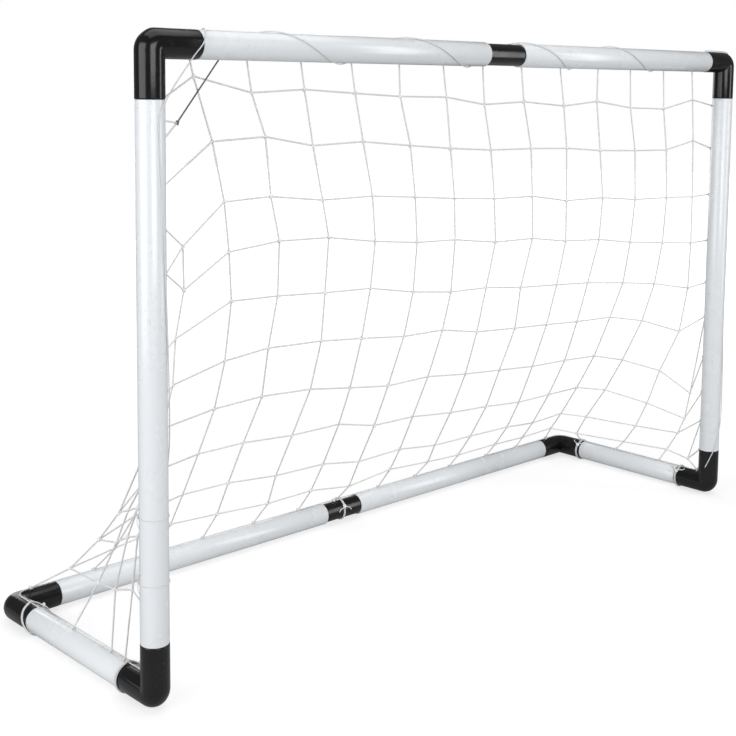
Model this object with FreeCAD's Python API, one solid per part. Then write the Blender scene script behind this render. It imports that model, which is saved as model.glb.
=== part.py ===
import FreeCAD, Part
import math
import os

# Child's knock-down soccer goal: a loop of eight plastic tubes, six corner elbows and two
# straight couplers, with a knotted twine net that is laced to the loop.
# Millimetres. X runs along the goal line, Y runs from the goal line back into the goal, Z is up.
# The origin is on the ground, in the middle of the goal's width and depth.

Vector = FreeCAD.Vector

# ---- driving dimensions --------------------------------------------------------------------
frame_width = 1166.0       # left post axis to right post axis
frame_height = 750.0       # base axis up to the crossbar axis
frame_depth = 340.0        # crossbar axis back to the rear bar axis

tube_od = 34.0
tube_wall = 1.7
tube_rim = 0.4             # small bevel on a cut tube end

elbow_step = 0.3           # how far an elbow's skin stands proud of the tube's
elbow_leg = 62.0           # corner axis to the shoulder that the tube butts on
elbow_bend = 8.0           # radius of the elbow's axis where it turns
elbow_shoulder = 1.6       # rounding of a shoulder's rim
spigot_length = 42.0       # how far a spigot reaches into its tube
spigot_wall = 2.6
spigot_lead = 1.2          # lead-in bevel of a spigot's or coupler's end
spigot_gap = 0.1           # radial gap between a spigot or coupler and the tube's bore

coupler_shown = 74.0       # the middle of a coupler that stays between two tubes
coupler_wall = 2.4

edge_cord_d = 1.8          # cord that edges the net
outer_bend = 20.0          # its arc where it turns on the outside of the frame
inner_bend = 12.0          # and between a post's back and a side tube's top
lacing_d = 1.8             # cord that winds round the frame and the edge cord
tie_d = 2.0                # short ties at the corners and on the left post
dark_cord_d = 2.2          # dark cord from the crossbar to the net's side
knot_d = 6.0
cord_gap = 0.15            # clearance between a cord and what it lies on
net_thickness = 2.4        # a knot's height, so that of the plain net sheets

post_ties_above_base = (135.0, 213.0)
tie_from_shoulder = 5.0    # how far inside its shoulder a corner tie lies on an elbow

# The net's hanging line from the crossbar to the rear bar, as shares of its own depth from the
# net's top edge to the rear bar, and of the frame's height.
hang_shares = [(0.0, 0.90), (0.016, 0.80), (0.08, 0.66), (0.22, 0.52), (0.42, 0.38),
               (0.66, 0.25), (0.87, 0.12)]
hang_top_drop = 11.5       # the net's top edge starts this far under the edge cord

# Lacing routes: (place along the member, degrees round it). Zero degrees is the front.
# On the crossbar the place is a share of the width from the left post axis, and the angle
# grows downwards.
crossbar_route = [(0.10, -180.0), (0.19, 0.0), (0.39, 360.0), (0.59, 720.0), (0.76, 1080.0),
                  (0.866, 1260.0)]
# On a post the place is the distance down from the crossbar axis, or up from the base axis where
# it is negative, and the angle grows inwards.
left_post_route = [(74.0, -6.0), (200.0, 12.0), (-320.0, 50.0), (-250.0, 100.0), (-218.0, 140.0)]
right_post_route = [(80.0, -88.0), (250.0, -78.0), (-300.0, -65.0), (-140.0, -40.0),
                    (-70.0, 25.0), (-34.0, 75.0)]
# The left post's lacing starts with a turn over the crossbar, and the right post's comes over
# the outside of its top elbow: distances from the post axis, and angles as on the crossbar.
left_corner_turn = [(84.0, 180.0), (72.0, 270.0), (62.0, 345.0), (50.0, 395.0)]
right_corner_start = 60.0
lacing_step = 30.0             # largest turn between two points of a lacing's route
lacing_run = 60.0              # and the longest run between them
lacing_slack = 0.65            # lift of the route's points, which its arcs cut inside
lacing_clear = 0.6             # room between a lacing and the edge cord that it goes over
swell_sharpness = 8            # how suddenly the lacing rises over the edge cord

dark_cord_from_post = 104.0     # the dark cord's start, along the crossbar
dark_cord_angle = 130.0        # where it leaves the crossbar's underside
dark_knot_in = 48.0            # its knot on the net, in from the post axis and down
dark_knot_down = 89.0
edge_knot_from_middle = -12.0  # the edge cord's two ends meet in this knot on the rear coupler

# ---- derived sizes -------------------------------------------------------------------------
half_width = frame_width / 2
tube_r = tube_od / 2
bore_r = tube_r - tube_wall
spigot_r = bore_r - spigot_gap
elbow_r = tube_r + elbow_step
edge_cord_at = elbow_r + cord_gap + edge_cord_d / 2
lacing_at = elbow_r + cord_gap + lacing_d / 2 + lacing_slack
lacing_swell = edge_cord_d + lacing_clear
tie_at = elbow_r + cord_gap + tie_d / 2
net_edge_at = edge_cord_at + edge_cord_d / 2 + tie_d + 2 * cord_gap   # clear of the ties

front_y = (lacing_at + lacing_d / 2 - elbow_r - frame_depth) / 2   # centres the overall depth
rear_y = front_y + frame_depth
base_z = tie_at + tie_d / 2
top_z = base_z + frame_height

RIGHT = Vector(1, 0, 0)
BACK = Vector(0, 1, 0)
UP = Vector(0, 0, 1)

shapes = {}


# ---- shape helpers -------------------------------------------------------------------------
def rod(radius, start, direction, length):
    return Part.makeCylinder(radius, length, start, direction)


def end_edges(solid, point, direction):
    """The solid's round edges that lie in the plane through point, square to direction."""
    found = []
    for edge in solid.Edges:
        box = edge.BoundBox
        reach = abs(box.XLength * direction.x) + abs(box.YLength * direction.y)
        reach += abs(box.ZLength * direction.z)
        offset = (edge.CenterOfMass - point).dot(direction)
        if reach < 1e-6 and abs(offset) < 1e-6:
            found.append(edge)
    return found


def corner_wire(points, radii):
    """Straight runs joined by tangent arcs of the given radii, or as large as the runs allow."""
    edges = []
    start = points[0]
    if radii is None:
        radii = [None] * (len(points) - 2)
    for before, corner, after, radius in zip(points, points[1:], points[2:], radii):
        towards = (before - corner).normalize()
        away = (after - corner).normalize()
        half_turn = (math.pi - towards.getAngle(away)) / 2
        shorter = min((before - corner).Length, (after - corner).Length)
        arc_r = radius or 0.45 * shorter / math.tan(half_turn)
        reach = arc_r * math.tan(half_turn)
        first = corner + towards * reach
        last = corner + away * reach
        inwards = (towards + away).normalize()
        middle = corner + inwards * (arc_r / math.cos(half_turn) - arc_r)
        edges.append(Part.LineSegment(start, first).toShape())
        edges.append(Part.Arc(first, middle, last).toShape())
        start = last
    edges.append(Part.LineSegment(start, points[-1]).toShape())
    return Part.Wire(edges)


def cord_along(wire, diameter, name):
    """A round cord swept along a wire, checked against its length times its section."""
    first = wire.OrderedEdges[0]
    start = first.valueAt(first.FirstParameter)
    ahead = first.tangentAt(first.FirstParameter)
    section = Part.Wire([Part.Circle(start, ahead, diameter / 2).toShape()])
    cord = wire.makePipeShell([section], True, False)
    expected = wire.Length * math.pi * diameter ** 2 / 4
    radii = [edge.Curve.Radius for edge in wire.Edges if hasattr(edge.Curve, "Radius")]
    smallest = min(radii) if radii else 0.0
    print(name, "length", round(wire.Length, 1), "smallest radius", round(smallest, 1),
          "volume ratio", round(cord.Volume / expected, 4))
    return cord


# ---- tubes ---------------------------------------------------------------------------------
def tube_between(start, end):
    """A cut length of tube with bevelled rims."""
    direction = (end - start).normalize()
    length = (end - start).Length
    outer = rod(tube_r, start, direction, length)
    rims = end_edges(outer, start, direction) + end_edges(outer, end, direction)
    outer = outer.makeChamfer(tube_rim, rims)
    return outer.cut(rod(bore_r, start, direction, length))


for side, name in ((-1, "left"), (1, "right")):
    post_x = side * half_width
    shoulder_x = side * (half_width - elbow_leg)
    coupler_x = side * coupler_shown / 2
    shapes["crossbar_tube_" + name] = tube_between(
        Vector(shoulder_x, front_y, top_z), Vector(coupler_x, front_y, top_z))
    shapes["post_" + name] = tube_between(
        Vector(post_x, front_y, base_z + elbow_leg), Vector(post_x, front_y, top_z - elbow_leg))
    shapes["side_tube_" + name] = tube_between(
        Vector(post_x, front_y + elbow_leg, base_z), Vector(post_x, rear_y - elbow_leg, base_z))
    shapes["rear_tube_" + name] = tube_between(
        Vector(shoulder_x, rear_y, base_z), Vector(coupler_x, rear_y, base_z))


# ---- elbows --------------------------------------------------------------------------------
def elbow_leg_solid(direction):
    """One leg's skin, from the bend's end plane to its rounded shoulder."""
    start = direction * elbow_bend
    skin = rod(elbow_r, start, direction, elbow_leg - elbow_bend)
    shoulder = end_edges(skin, direction * elbow_leg, direction)
    return skin.makeFillet(elbow_shoulder, shoulder)


def spigot_solid(direction):
    """The stepped-down end that a tube is pushed onto, with its lead-in bevel."""
    start = direction * (elbow_leg - elbow_shoulder * 2)
    spigot = rod(spigot_r, start, direction, spigot_length + elbow_shoulder * 2)
    tip = end_edges(spigot, direction * (elbow_leg + spigot_length), direction)
    return spigot.makeChamfer(spigot_lead, tip)


def elbow_bend_solid():
    """The outside of the bend: a disc, cut off at the bend's own axis, turned by 90 degrees."""
    pivot = Vector(elbow_bend, 0, elbow_bend)
    chord = math.sqrt(elbow_r ** 2 - elbow_bend ** 2)
    centre = Vector(elbow_bend, 0, 0)
    arc = Part.Arc(Vector(elbow_bend, chord, elbow_bend), centre + Vector(0, 0, -elbow_r),
                   Vector(elbow_bend, -chord, elbow_bend))
    closing = Part.LineSegment(Vector(elbow_bend, -chord, elbow_bend),
                               Vector(elbow_bend, chord, elbow_bend))
    outline = Part.Face(Part.Wire([arc.toShape(), closing.toShape()]))
    return outline.revolve(pivot, BACK, 90)


def make_elbow():
    """An elbow with its corner axis point at the origin and its legs along +X and +Z."""
    body = elbow_bend_solid()
    for direction in (RIGHT, UP):
        body = body.fuse([elbow_leg_solid(direction), spigot_solid(direction)])
    inner_r = spigot_r - spigot_wall
    reach = elbow_leg + spigot_length
    hollow = Part.makeSphere(inner_r)
    for direction in (RIGHT, UP):
        hollow = hollow.fuse(rod(inner_r, Vector(), direction, reach))
    return body.cut(hollow).removeSplitter()


def place_elbow(elbow, corner, first_leg, second_leg):
    third = second_leg.cross(first_leg)
    turn = FreeCAD.Matrix(first_leg.x, third.x, second_leg.x, corner.x,
                          first_leg.y, third.y, second_leg.y, corner.y,
                          first_leg.z, third.z, second_leg.z, corner.z,
                          0, 0, 0, 1)
    return elbow.transformed(turn)


elbow = make_elbow()
for side, name in ((-1, "left"), (1, "right")):
    post_x = side * half_width
    inwards = RIGHT * -side
    shapes["top_elbow_" + name] = place_elbow(
        elbow, Vector(post_x, front_y, top_z), inwards, UP * -1)
    shapes["front_elbow_" + name] = place_elbow(
        elbow, Vector(post_x, front_y, base_z), BACK, UP)
    shapes["rear_elbow_" + name] = place_elbow(
        elbow, Vector(post_x, rear_y, base_z), inwards, BACK * -1)


# ---- couplers ------------------------------------------------------------------------------
def coupler_at(middle):
    """A straight sleeve inside two tubes, with its middle showing between them."""
    length = coupler_shown + 2 * spigot_length
    start = middle - RIGHT * (length / 2)
    end = middle + RIGHT * (length / 2)
    sleeve = rod(spigot_r, start, RIGHT, length)
    tips = end_edges(sleeve, start, RIGHT) + end_edges(sleeve, end, RIGHT)
    sleeve = sleeve.makeChamfer(spigot_lead, tips)
    return sleeve.cut(rod(spigot_r - coupler_wall, start, RIGHT, length))


shapes["crossbar_coupler"] = coupler_at(Vector(0, front_y, top_z))
shapes["rear_coupler"] = coupler_at(Vector(0, rear_y, base_z))


# ---- net -----------------------------------------------------------------------------------
def hanging_line(shift):
    """The net's side view from the crossbar to the rear bar, moved square to itself by shift."""
    top = (net_edge_at, frame_height - hang_top_drop)
    foot = (frame_depth, net_edge_at + net_thickness / 2)
    depth = frame_depth - net_edge_at
    middle = [(net_edge_at + back * depth, up * frame_height) for back, up in hang_shares]
    line = [top] + middle + [foot]
    moved = []
    for index, (y, z) in enumerate(line):
        y0, z0 = line[max(index - 1, 0)]
        y1, z1 = line[min(index + 1, len(line) - 1)]
        run = math.hypot(y1 - y0, z1 - z0)
        moved.append((y - (z1 - z0) / run * shift, z + (y1 - y0) / run * shift))
    return moved


def net_front_at(height):
    """How far the net's front face is behind the goal line, this far above the base axis."""
    front = hanging_line(-net_thickness / 2)
    for (y0, z0), (y1, z1) in zip(front, front[1:]):
        if z1 <= height <= z0:
            return y0 + (y1 - y0) * (z0 - height) / (z0 - z1)


def sheet_in_side_view(outline, x, thickness):
    """A flat sheet drawn in the goal's side view and given a thickness along X."""
    points = [Vector(x, front_y + y, base_z + z) for y, z in outline]
    face = Part.Face(Part.makePolygon(points + points[:1]))
    return face.extrude(Vector(thickness, 0, 0))


back_span = frame_width - net_thickness
back_outline = hanging_line(net_thickness / 2) + hanging_line(-net_thickness / 2)[::-1]
shapes["back_net"] = sheet_in_side_view(back_outline, -back_span / 2, back_span)

side_outline = hanging_line(net_thickness / 2)[2:]
side_outline += [(net_edge_at + inner_bend, net_edge_at), (net_edge_at, net_edge_at + inner_bend),
                 (net_edge_at, side_outline[0][1])]
for side, name in ((-1, "left"), (1, "right")):
    outer_x = side * half_width - net_thickness / 2
    shapes["side_net_" + name] = sheet_in_side_view(side_outline, outer_x, net_thickness)

# ---- edge cord and its knot ----------------------------------------------------------------
edge_y = front_y + edge_cord_at
edge_z = base_z + edge_cord_at


def edge_cord_wire():
    """Behind the crossbar and the posts, then along the top of the base, knot to knot."""
    end_gap = knot_d / 2 - cord_gap
    stops = [Vector(edge_knot_from_middle - end_gap, rear_y, edge_z)]
    bends = []
    for side in (-1, 1):
        corners = [Vector(side * half_width, rear_y, edge_z),
                   Vector(side * half_width, edge_y, edge_z),
                   Vector(side * half_width, edge_y, top_z)]
        radii = [outer_bend, inner_bend, outer_bend]
        stops += corners if side < 0 else corners[::-1]
        bends += radii if side < 0 else radii[::-1]
    stops.append(Vector(edge_knot_from_middle + end_gap, rear_y, edge_z))
    return corner_wire(stops, bends)


shapes["edge_cord"] = cord_along(edge_cord_wire(), edge_cord_d, "edge_cord")


def knot_at(middle, cord):
    """A round knot with a seat for the cord that ends in its skin."""
    return Part.makeSphere(knot_d / 2, middle).cut(cord)


shapes["edge_cord_knot"] = knot_at(
    Vector(edge_knot_from_middle, rear_y, edge_z), shapes["edge_cord"])


# ---- ties ----------------------------------------------------------------------------------
def tie_round(middle, along, towards, member_r):
    """A closed cord round a member and the edge cord that lies on it, in the towards direction."""
    across = along.cross(towards)
    large = member_r + cord_gap + tie_d / 2
    small = edge_cord_d / 2 + cord_gap + tie_d / 2
    lean = math.acos((large - small) / edge_cord_at)
    cord_middle = middle + towards * edge_cord_at

    def spoke(centre, radius, angle):
        return centre + towards * (radius * math.cos(angle)) + across * (radius * math.sin(angle))

    edges = [Part.Arc(spoke(middle, large, lean), spoke(middle, large, math.pi),
                      spoke(middle, large, -lean)),
             Part.LineSegment(spoke(middle, large, -lean), spoke(cord_middle, small, -lean)),
             Part.Arc(spoke(cord_middle, small, -lean), spoke(cord_middle, small, 0),
                      spoke(cord_middle, small, lean)),
             Part.LineSegment(spoke(cord_middle, small, lean), spoke(middle, large, lean))]
    return Part.Wire([edge.toShape() for edge in edges])


for side, name in ((-1, "left"), (1, "right")):
    from_corner = elbow_leg - tie_from_shoulder
    for end, y in (("front", front_y + from_corner), ("rear", rear_y - from_corner)):
        node = end + "_tie_" + name
        loop = tie_round(Vector(side * half_width, y, base_z), BACK, UP, elbow_r)
        shapes[node] = cord_along(loop, tie_d, node)

coupler_loop = tie_round(Vector(0, rear_y, base_z), RIGHT, UP, spigot_r)
shapes["rear_coupler_tie"] = cord_along(coupler_loop, tie_d, "rear_coupler_tie")

post_loops = []
for height in post_ties_above_base:
    loop = tie_round(Vector(-half_width, front_y, base_z + height), UP, BACK, tube_r)
    post_loops.append(cord_along(loop, tie_d, "post_ties_left"))
shapes["post_ties_left"] = Part.makeCompound(post_loops)


# ---- lacing --------------------------------------------------------------------------------
def round_crossbar(distance, angle, radius):
    turn = math.radians(angle)
    return Vector(distance - half_width, front_y - radius * math.cos(turn),
                  top_z - radius * math.sin(turn))


def round_post(side):
    def place(distance, angle, radius):
        turn = math.radians(angle)
        return Vector(side * (half_width - radius * math.sin(turn)),
                      front_y - radius * math.cos(turn), top_z - distance)
    return place


def down_post(route):
    """A post's route with every place as a distance down from the crossbar axis."""
    return [(s if s > 0 else frame_height + s, angle) for s, angle in route]


def wound(route, place):
    """Points of a winding: even steps between the route's stations, lifted over the edge cord."""
    points = []
    for (s0, a0), (s1, a1) in zip(route, route[1:]):
        steps = max(1, math.ceil(abs(a1 - a0) / lacing_step), math.ceil(abs(s1 - s0) / lacing_run))
        for step in range(steps + (s1 == route[-1][0])):
            share = step / steps
            angle = a0 + (a1 - a0) * share
            over_cord = max(0.0, -math.cos(math.radians(angle))) ** swell_sharpness
            radius = lacing_at + lacing_swell * over_cord
            points.append(place(s0 + (s1 - s0) * share, angle, radius))
    return points


crossbar_points = wound([(share * frame_width, angle) for share, angle in crossbar_route],
                        round_crossbar)
shapes["crossbar_lacing"] = cord_along(
    corner_wire(crossbar_points, None), lacing_d, "crossbar_lacing")

left_points = wound(left_corner_turn, round_crossbar)
left_points += wound(down_post(left_post_route), round_post(-1))
shapes["left_post_lacing"] = cord_along(
    corner_wire(left_points, None), lacing_d, "left_post_lacing")

right_points = [Vector(half_width - right_corner_start, front_y, top_z + lacing_at),
                Vector(half_width + lacing_at, front_y, top_z + lacing_at)]
right_points += wound(down_post(right_post_route), round_post(1))
right_radii = [elbow_bend + lacing_at] + [None] * (len(right_points) - 3)
shapes["right_post_lacing"] = cord_along(
    corner_wire(right_points, right_radii), lacing_d, "right_post_lacing")

# ---- dark cord -----------------------------------------------------------------------------
dark_start = round_crossbar(dark_cord_from_post, dark_cord_angle,
                            tube_r + cord_gap + dark_cord_d / 2)
dark_knot_back = net_front_at(frame_height - dark_knot_down) - knot_d / 2 - cord_gap
dark_knot = Vector(dark_knot_in - half_width, front_y + dark_knot_back, top_z - dark_knot_down)
dark_run = dark_knot - dark_start
dark_length = dark_run.Length - knot_d / 2 + cord_gap
shapes["dark_cord"] = rod(dark_cord_d / 2, dark_start, dark_run, dark_length)
shapes["dark_cord_knot"] = knot_at(dark_knot, shapes["dark_cord"])
print("dark cord", [round(value, 2) for value in dark_start], "to",
      [round(value, 2) for value in dark_knot], "length", round(dark_length, 1))

for name, shape in shapes.items():
    print(name, shape.isValid(), len(shape.Solids), round(shape.Volume / 1000, 1), "cm3")

os.makedirs("parts", exist_ok=True)
for name, shape in shapes.items():
    shape.exportStep("parts/" + name + ".step")
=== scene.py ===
# %% [markdown]
# # A child's knock-down soccer goal
# Eight white plastic tubes are pushed onto six black elbows and two black couplers, and a knotted
# twine net is laced to the loop that they make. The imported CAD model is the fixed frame: the
# members' sizes and places are read from it, and the Blender pieces stand in for its plain solids.

# %% Load the frame
import math

import bmesh
import bpy
import numpy as np
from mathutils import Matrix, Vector


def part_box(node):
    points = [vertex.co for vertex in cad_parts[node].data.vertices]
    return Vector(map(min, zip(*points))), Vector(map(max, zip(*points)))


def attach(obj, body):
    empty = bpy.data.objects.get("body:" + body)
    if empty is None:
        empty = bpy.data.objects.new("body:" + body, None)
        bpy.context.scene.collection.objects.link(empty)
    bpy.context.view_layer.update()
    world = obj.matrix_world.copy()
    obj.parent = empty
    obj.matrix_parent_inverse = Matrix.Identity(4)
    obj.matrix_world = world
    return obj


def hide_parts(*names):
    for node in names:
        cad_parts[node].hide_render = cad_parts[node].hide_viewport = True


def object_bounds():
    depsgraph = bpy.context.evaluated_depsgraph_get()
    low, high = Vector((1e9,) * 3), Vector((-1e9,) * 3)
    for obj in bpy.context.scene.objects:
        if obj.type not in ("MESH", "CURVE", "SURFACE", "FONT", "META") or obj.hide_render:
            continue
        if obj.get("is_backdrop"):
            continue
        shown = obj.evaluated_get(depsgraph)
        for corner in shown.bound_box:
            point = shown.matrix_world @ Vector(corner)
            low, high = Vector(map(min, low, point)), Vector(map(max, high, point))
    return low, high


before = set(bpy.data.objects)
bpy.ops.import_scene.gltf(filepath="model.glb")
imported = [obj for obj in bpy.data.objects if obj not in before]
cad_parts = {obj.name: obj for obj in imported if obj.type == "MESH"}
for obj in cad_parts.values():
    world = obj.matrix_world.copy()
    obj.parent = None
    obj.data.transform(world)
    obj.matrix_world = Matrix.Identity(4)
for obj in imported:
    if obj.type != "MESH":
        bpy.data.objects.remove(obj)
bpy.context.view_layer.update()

# %% [markdown]
# ## Places
# The goal is one loop of straight members, so a few axis lines place everything: the two posts,
# the crossbar, the two side tubes and the rear bar. Each is the middle of a CAD node's box.

# %% Axis lines and radii
MM = 0.001
RIGHT = Vector((1, 0, 0))
BACK = Vector((0, 1, 0))
UP = Vector((0, 0, 1))


def middle_of(node):
    low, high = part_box(node)
    return (low + high) / 2


half_width = (middle_of("post_right").x - middle_of("post_left").x) / 2
front_y = middle_of("post_left").y
rear_y = middle_of("rear_tube_left").y
base_z = middle_of("side_tube_left").z
top_z = middle_of("crossbar_tube_left").z
tube_low, tube_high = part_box("post_left")
tube_r = (tube_high.x - tube_low.x) / 2
elbow_low, elbow_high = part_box("top_elbow_left")
elbow_r = -half_width - elbow_low.x
elbow_leg = top_z - tube_high.z
spigot_tip = elbow_high.x + half_width
coupler_low, coupler_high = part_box("crossbar_coupler")
coupler_r = (coupler_high.z - coupler_low.z) / 2
coupler_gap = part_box("crossbar_tube_right")[0].x
cord_low, cord_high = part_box("edge_cord")
edge_cord_r = cord_high.x - half_width
edge_at = cord_low.y + edge_cord_r - front_y
print("width", round(2 * half_width, 4), "height", round(top_z - base_z, 4),
      "depth", round(rear_y - front_y, 4), "tube radius", round(tube_r, 5),
      "elbow radius", round(elbow_r, 5), "edge cord at", round(edge_at, 5))

# %% [markdown]
# ## Camera
# The goal is seen from outside its left post, at crossbar height, so that both the mouth and the
# depth of the net show. The lens is long and the camera almost level, which keeps the posts
# upright; a small shift then moves the picture down onto the goal.

# %% Camera
camera_place = Vector((-1.370, -1.378, 0.731))
camera_ahead = Vector((0.6949, 0.7109, -0.1083)).normalized()
camera_right = Vector((0.7160, -0.6980, 0.0119)).normalized()
CAMERA_LENS = 62.4
CAMERA_SHIFT = (-0.049, -0.201)


def new_object(name, data):
    made = bpy.data.objects.new(name, data)
    bpy.context.scene.collection.objects.link(made)
    return made


def make_camera():
    data = bpy.data.cameras.new("camera")
    data.lens = CAMERA_LENS
    data.shift_x, data.shift_y = CAMERA_SHIFT
    camera = new_object("camera", data)
    turn = camera.matrix_world.to_3x3()
    upwards = camera_right.cross(camera_ahead)
    for column, axis in enumerate((camera_right, upwards, -camera_ahead)):
        turn.col[column] = axis
    camera.matrix_world = turn.to_4x4()
    camera.location = camera_place
    return camera


bpy.context.scene.camera = make_camera()

# %% [markdown]
# ## Shared surface effects
# Moulded and extruded plastic, twine and cord share three effects: fine handling marks, long
# drawing lines left by the extruder's die, and the twist of a strand, whose grooves between the
# plies get a painted shade, darker than its pale crests. Each is a shader node group, built once
# and placed in a material with that material's own values.


# %% Helpers for node trees
def new_group(name, kind, inputs, outputs):
    """An empty node group with its sockets, and the two nodes that stand for its ends."""
    tree = bpy.data.node_groups.new(name, kind)
    for label, socket_kind, value in inputs:
        socket = tree.interface.new_socket(name=label, in_out="INPUT", socket_type=socket_kind)
        if value is not None:
            socket.default_value = value
    for label, socket_kind in outputs:
        tree.interface.new_socket(name=label, in_out="OUTPUT", socket_type=socket_kind)
    return tree, tree.nodes.new("NodeGroupInput").outputs, tree.nodes.new("NodeGroupOutput")


def feed(tree, node, **inputs):
    """Gives a node's inputs values, or links them to sockets. _0 is the input numbered 0."""
    for key, value in inputs.items():
        socket = node.inputs[int(key[1:]) if key.startswith("_") else key.replace("_", " ")]
        if isinstance(value, bpy.types.NodeSocket):
            tree.links.new(value, socket)
        else:
            socket.default_value = value
    return node


def add(tree, kind, settings=None, **inputs):
    """A new node with its properties set and its inputs fed."""
    node = tree.nodes.new(kind)
    for key, value in (settings or {}).items():
        setattr(node, key, value)
    return feed(tree, node, **inputs)


# %% The four nodes that every finish uses
def maths(tree, operation, *values):
    numbered = {"_" + str(number): value for number, value in enumerate(values)}
    return add(tree, "ShaderNodeMath", {"operation": operation}, **numbered).outputs[0]


def ranged(tree, value, **limits):
    return add(tree, "ShaderNodeMapRange", Value=value, **limits).outputs[0]


def noise(tree, place, scale, **settings):
    return add(tree, "ShaderNodeTexNoise", Vector=place, Scale=scale, **settings).outputs["Fac"]


def mixed(tree, share, first, second):
    """A colour between two, from the colour sockets of a Mix node, which are 6, 7 and output 2."""
    return add(tree, "ShaderNodeMix", {"data_type": "RGBA"}, Factor=share, _6=first,
               _7=second).outputs[2]


# %% Handling marks
# Three crossing ways for the scratches, each a turn in radians and a squash of the noise.
SCRATCH_WAYS = ((0.5, (1.0, 14.0, 1.0)), (-0.9, (12.0, 1.0, 2.0)), (1.9, (2.0, 1.0, 16.0)))


def build_handling_marks():
    """Thin crossing scratches in patches, and a cloudy film where hands have been."""
    tree, given, result = new_group(
        "handling_marks", "ShaderNodeTree",
        [("Vector", "NodeSocketVector", None), ("Scratch Size", "NodeSocketFloat", 90.0),
         ("Film Size", "NodeSocketFloat", 14.0)],
        [("Scratches", "NodeSocketFloat"), ("Film", "NodeSocketFloat")])
    lines = []
    for turn, squash in SCRATCH_WAYS:
        turned = add(tree, "ShaderNodeMapping", Vector=given["Vector"],
                     Rotation=(turn, turn * 0.7, turn), Scale=squash).outputs[0]
        grain = noise(tree, turned, given["Scratch Size"], Detail=2.0)
        lines.append(ranged(tree, grain, From_Min=0.66, From_Max=0.72))
    every = maths(tree, "MAXIMUM", maths(tree, "MAXIMUM", lines[0], lines[1]), lines[2])
    cloud = noise(tree, given["Vector"], given["Film Size"], Detail=5.0, Roughness=0.6)
    patch = ranged(tree, cloud, From_Min=0.42, From_Max=0.68)
    feed(tree, result, Scratches=maths(tree, "MULTIPLY", every, patch), Film=patch)
    return tree


handling_marks = build_handling_marks()

# %% Drawing lines of the extruded tubes
BAND_SIZE = 0.14


def build_drawing_lines():
    """Fine lines and broad bands. A tube's material squeezes the coordinates that it hands in,
    which draws this noise out along the tube."""
    tree, given, result = new_group(
        "drawing_lines", "ShaderNodeTree",
        [("Vector", "NodeSocketVector", None), ("Line Size", "NodeSocketFloat", 260.0)],
        [("Lines", "NodeSocketFloat"), ("Bands", "NodeSocketFloat")])
    fine = noise(tree, given["Vector"], given["Line Size"], Detail=3.0)
    band_scale = maths(tree, "MULTIPLY", given["Line Size"], BAND_SIZE)
    feed(tree, result, Lines=fine, Bands=noise(tree, given["Vector"], band_scale, Detail=1.0))
    return tree


drawing_lines = build_drawing_lines()


# %% Twist of a twine or cord, with a painted shade in its grooves
def build_twist():
    """Reads the groove and length that the twine builder stores, and paints shade in the grooves.
    """
    tree, given, result = new_group(
        "twist", "ShaderNodeTree",
        [("Crest", "NodeSocketColor", (0.8, 0.8, 0.8, 1)),
         ("Groove", "NodeSocketColor", (0.4, 0.4, 0.4, 1)),
         ("Soiling", "NodeSocketFloat", 0.2)],
        [("Color", "NodeSocketColor"), ("Fuzz", "NodeSocketFloat")])
    groove = add(tree, "ShaderNodeAttribute", {"attribute_name": "groove"}).outputs["Fac"]
    along = add(tree, "ShaderNodeAttribute", {"attribute_name": "along"}).outputs["Fac"]
    place = add(tree, "ShaderNodeTexCoord").outputs["Object"]
    # Painted shade: the colour darkens towards the groove colour where the plies meet.
    twist = mixed(tree, groove, given["Crest"], given["Groove"])
    stained = ranged(tree, noise(tree, place, 22.0, Detail=4.0), From_Min=0.35, From_Max=0.75)
    soiled = maths(tree, "MULTIPLY", stained, given["Soiling"])
    rows = add(tree, "ShaderNodeCombineXYZ", X=along, Y=groove).outputs[0]
    stretched = add(tree, "ShaderNodeMapping", Vector=rows, Scale=(900.0, 9.0, 1.0)).outputs[0]
    feed(tree, result, Color=mixed(tree, soiled, twist, given["Groove"]),
         Fuzz=noise(tree, stretched, 1.0, Detail=2.0))
    return tree


groove_shaded_twist_look = build_twist()

# %% [markdown]
# ## Materials
# The tubes are glossy white plastic with a faint blue cast, the elbows and couplers glossy black,
# and the net's twine is dull and off-white. The tubes' gloss is a clear coat over a softer base,
# so bright boxes reflect sharply while the body colour stays even.

# %% Material helpers
def new_material(name):
    material = bpy.data.materials.new(name)
    material.use_nodes = True
    tree = material.node_tree
    tree.nodes.clear()
    surface = tree.nodes.new("ShaderNodeBsdfPrincipled")
    add(tree, "ShaderNodeOutputMaterial", Surface=surface.outputs[0])
    return material, tree, surface


def place_group(tree, group, **inputs):
    return add(tree, "ShaderNodeGroup", {"node_tree": group}, **inputs).outputs


def bumped(tree, surface, height, distance):
    bump = add(tree, "ShaderNodeBump", Height=height, Distance=distance, Strength=1.0)
    feed(tree, surface, Normal=bump.outputs[0])


# %% White tube
TUBE_WHITES = ((0.79, 0.825, 0.855, 1), (0.85, 0.875, 0.90, 1))
SCRATCHED_WHITE = (0.62, 0.63, 0.64, 1)
DRAWN_OUT = 0.012


def tube_material(name, stretch):
    """Extruded white plastic. The stretch squeezes the pattern's coordinates along the tube."""
    material, tree, surface = new_material(name)
    place = add(tree, "ShaderNodeTexCoord").outputs["Object"]
    drawn = add(tree, "ShaderNodeMapping", Vector=place, Scale=stretch).outputs[0]
    lines = place_group(tree, drawing_lines, Vector=drawn, Line_Size=260.0)
    marks = place_group(tree, handling_marks, Vector=place, Scratch_Size=70.0, Film_Size=9.0)
    tone = mixed(tree, lines["Bands"], *TUBE_WHITES)
    feed(tree, surface, Base_Color=mixed(tree, marks["Scratches"], tone, SCRATCHED_WHITE),
         Roughness=ranged(tree, marks["Film"], To_Min=0.22, To_Max=0.36), Coat_Weight=0.35,
         Coat_Roughness=0.12)
    bumped(tree, surface, lines["Lines"], 0.06 * MM)
    return material


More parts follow.
